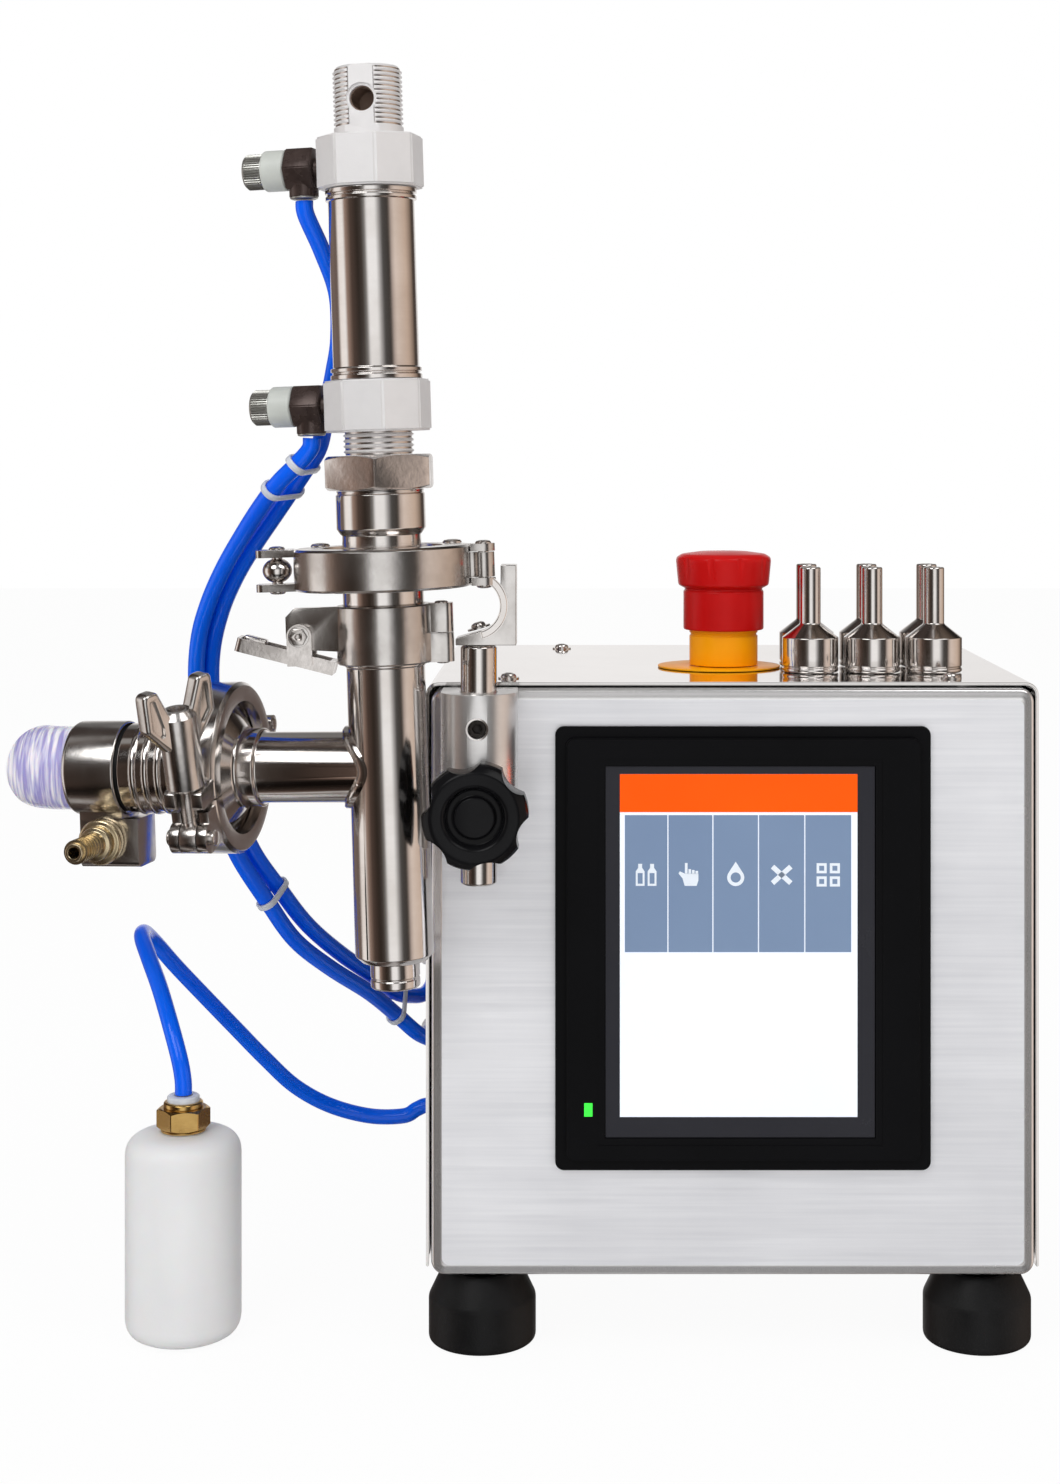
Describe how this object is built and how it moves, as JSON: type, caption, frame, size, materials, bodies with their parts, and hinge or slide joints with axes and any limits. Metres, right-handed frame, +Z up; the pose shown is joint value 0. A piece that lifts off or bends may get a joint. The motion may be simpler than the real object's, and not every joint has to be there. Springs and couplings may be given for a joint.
{
  "type": "semi-automatic filling machine",
  "caption": "Benchtop liquid filling machine: steel cabinet with touch panel and emergency stop, side post carrying an air-driven sanitary filling valve, hose end and spare nozzles.",
  "frame": {"origin": "middle of the bottom of the bounding box, on the bench under the machine", "axes": "+Z up, -Y towards the touch panel's front, +X to the right seen from the front"},
  "size_m": [0.4728, 0.302, 0.5849],
  "materials": {
    "brushed_steel": "sheet stainless, fine brushed grain",
    "polished_steel": "polished stainless",
    "steel": "plain turned steel",
    "aluminium": "bead blasted, anodised clear",
    "black_rubber": "matt black rubber",
    "black_plastic": "moulded black plastic",
    "display_glass": "touch panel face",
    "red_plastic": "moulded red plastic",
    "yellow_plastic": "moulded yellow plastic",
    "grey_plastic": "moulded pale grey plastic",
    "dark_bronze": "dark bronze coloured fitting body",
    "brass": "turned brass",
    "blue_tube": "glossy polyurethane air tube",
    "clear_hose": "wrapped translucent hose",
    "white_plastic": "satin white plastic",
    "white_seal": "white seal ring"
  },
  "bodies": {
    "cabinet": {"chassis": "brushed_steel", "cover": "brushed_steel", "foot_front_left": "black_rubber", "foot_front_right": "black_rubber", "foot_rear_left": "black_rubber", "foot_rear_right": "black_rubber", "panel_bezel": "black_plastic", "panel_display": "display_glass", "panel_case": "black_plastic", "estop_legend_plate": "yellow_plastic", "estop_collar": "yellow_plastic", "estop_contact_block": "grey_plastic", "air_valve": "aluminium", "power_inlet": "black_plastic", "air_inlet": "brass", "post_holder": "polished_steel", "exhaust_bottle": "white_plastic", "bottle_fitting": "brass", "bottle_air_tube": "blue_tube"},
    "carriage": {"post": "polished_steel", "bracket": "steel", "valve_bonnet": "polished_steel", "cylinder_nut": "steel", "cylinder_lower_cap": "aluminium", "cylinder_barrel": "polished_steel", "cylinder_upper_cap": "aluminium", "upper_speed_control": "dark_bronze", "lower_speed_control": "dark_bronze", "valve_body": "polished_steel", "valve_seal": "white_seal", "branch_seal": "white_seal", "valve_clamp_rear": "polished_steel", "band_clamp_rear": "polished_steel", "pipe_clamp_upper": "polished_steel", "pipe_clamp_lower": "polished_steel", "pipe_clamp_bolt": "steel", "hose_ferrule": "polished_steel", "hose_collar": "polished_steel", "drain_barb": "brass", "product_hose": "clear_hose", "lower_air_tube": "blue_tube", "upper_air_tube": "blue_tube"},
    "clamp_knob": {"clamp_knob": "black_plastic"},
    "estop_slider": {"estop_stem": "steel"},
    "estop_button": {"estop_cap": "red_plastic"},
    "plunger": {"piston": "aluminium", "valve_rod": "polished_steel"},
    "valve_clamp_gate": {"valve_clamp_front": "polished_steel", "valve_clamp_ball": "steel"},
    "band_gate": {"band_clamp_front": "polished_steel"},
    "band_lever": {"band_clamp_lever": "steel"},
    "wing_nut": {"pipe_clamp_wing_nut": "polished_steel"},
    "upper_knob": {"upper_speed_knob": "grey_plastic"},
    "lower_knob": {"lower_speed_knob": "grey_plastic"},
    "nozzle_1": {"nozzle_1": "polished_steel"},
    "nozzle_2": {"nozzle_2": "polished_steel"},
    "nozzle_3": {"nozzle_3": "polished_steel"},
    "nozzle_4": {"nozzle_4": "polished_steel"},
    "nozzle_5": {"nozzle_5": "polished_steel"},
    "nozzle_6": {"nozzle_6": "polished_steel"}
  },
  "joints": [
    {"name": "height_adjust", "type": "slide", "parent": "cabinet", "child": "carriage", "axis": [0, 0, 1], "range_m": [-0.012, 0.03], "deforming": ["lower_air_tube", "upper_air_tube"]},
    {"name": "clamp_knob_turn", "type": "hinge", "parent": "cabinet", "child": "clamp_knob", "pos_m": [-0.01916, -0.11197, 0.256], "axis": [0, -1, 0], "range_deg": [0, 180]},
    {"name": "estop_press", "type": "slide", "parent": "cabinet", "child": "estop_slider", "axis": [0, 0, -1], "range_m": [0, 0.0045], "stiffness_N_per_m": 3000, "springref_m": -0.003},
    {"name": "estop_twist", "type": "hinge", "parent": "estop_slider", "child": "estop_button", "pos_m": [0.09634, 0.01003, 0.34], "axis": [0, 0, 1], "range_deg": [0, 45], "stiffness_Nm_per_rad": 0.06},
    {"name": "valve_stroke", "type": "slide", "parent": "carriage", "child": "plunger", "axis": [-0.0314, 0, 0.9995], "range_m": [0, 0.025]},
    {"name": "valve_clamp_open", "type": "hinge", "parent": "carriage", "child": "valve_clamp_gate", "pos_m": [-0.01668, -0.09397, 0.36342], "axis": [-0.0314, 0, 0.9995], "range_deg": [0, 80]},
    {"name": "band_clamp_open", "type": "hinge", "parent": "carriage", "child": "band_gate", "pos_m": [-0.03525, -0.09397, 0.33332], "axis": [-0.0314, 0, 0.9995], "range_deg": [0, 70]},
    {"name": "band_lever_lift", "type": "hinge", "parent": "band_gate", "child": "band_lever", "pos_m": [-0.09783, -0.09397, 0.33185], "axis": [0, 1, 0], "range_deg": [0, 43]},
    {"name": "wing_nut_turn", "type": "hinge", "parent": "carriage", "child": "wing_nut", "pos_m": [-0.14399, -0.12422, 0.26785], "axis": [-0.0808, -0.2366, 0.9682], "continuous": true},
    {"name": "upper_speed_turn", "type": "hinge", "parent": "carriage", "child": "upper_knob", "pos_m": [-0.11138, -0.08461, 0.53953], "axis": [-0.9777, 0.2079, -0.0307], "continuous": true},
    {"name": "lower_speed_turn", "type": "hinge", "parent": "carriage", "child": "lower_knob", "pos_m": [-0.10805, -0.08461, 0.43348], "axis": [-0.9777, 0.2079, -0.0307], "continuous": true},
    {"name": "nozzle_1_lift", "type": "slide", "parent": "cabinet", "child": "nozzle_1", "axis": [0, 0, 1], "range_m": [0, 0.06]},
    {"name": "nozzle_2_lift", "type": "slide", "parent": "cabinet", "child": "nozzle_2", "axis": [0, 0, 1], "range_m": [0, 0.06]},
    {"name": "nozzle_3_lift", "type": "slide", "parent": "cabinet", "child": "nozzle_3", "axis": [0, 0, 1], "range_m": [0, 0.06]},
    {"name": "nozzle_4_lift", "type": "slide", "parent": "cabinet", "child": "nozzle_4", "axis": [0, 0, 1], "range_m": [0, 0.06]},
    {"name": "nozzle_5_lift", "type": "slide", "parent": "cabinet", "child": "nozzle_5", "axis": [0, 0, 1], "range_m": [0, 0.06]},
    {"name": "nozzle_6_lift", "type": "slide", "parent": "cabinet", "child": "nozzle_6", "axis": [0, 0, 1], "range_m": [0, 0.06]}
  ]
}
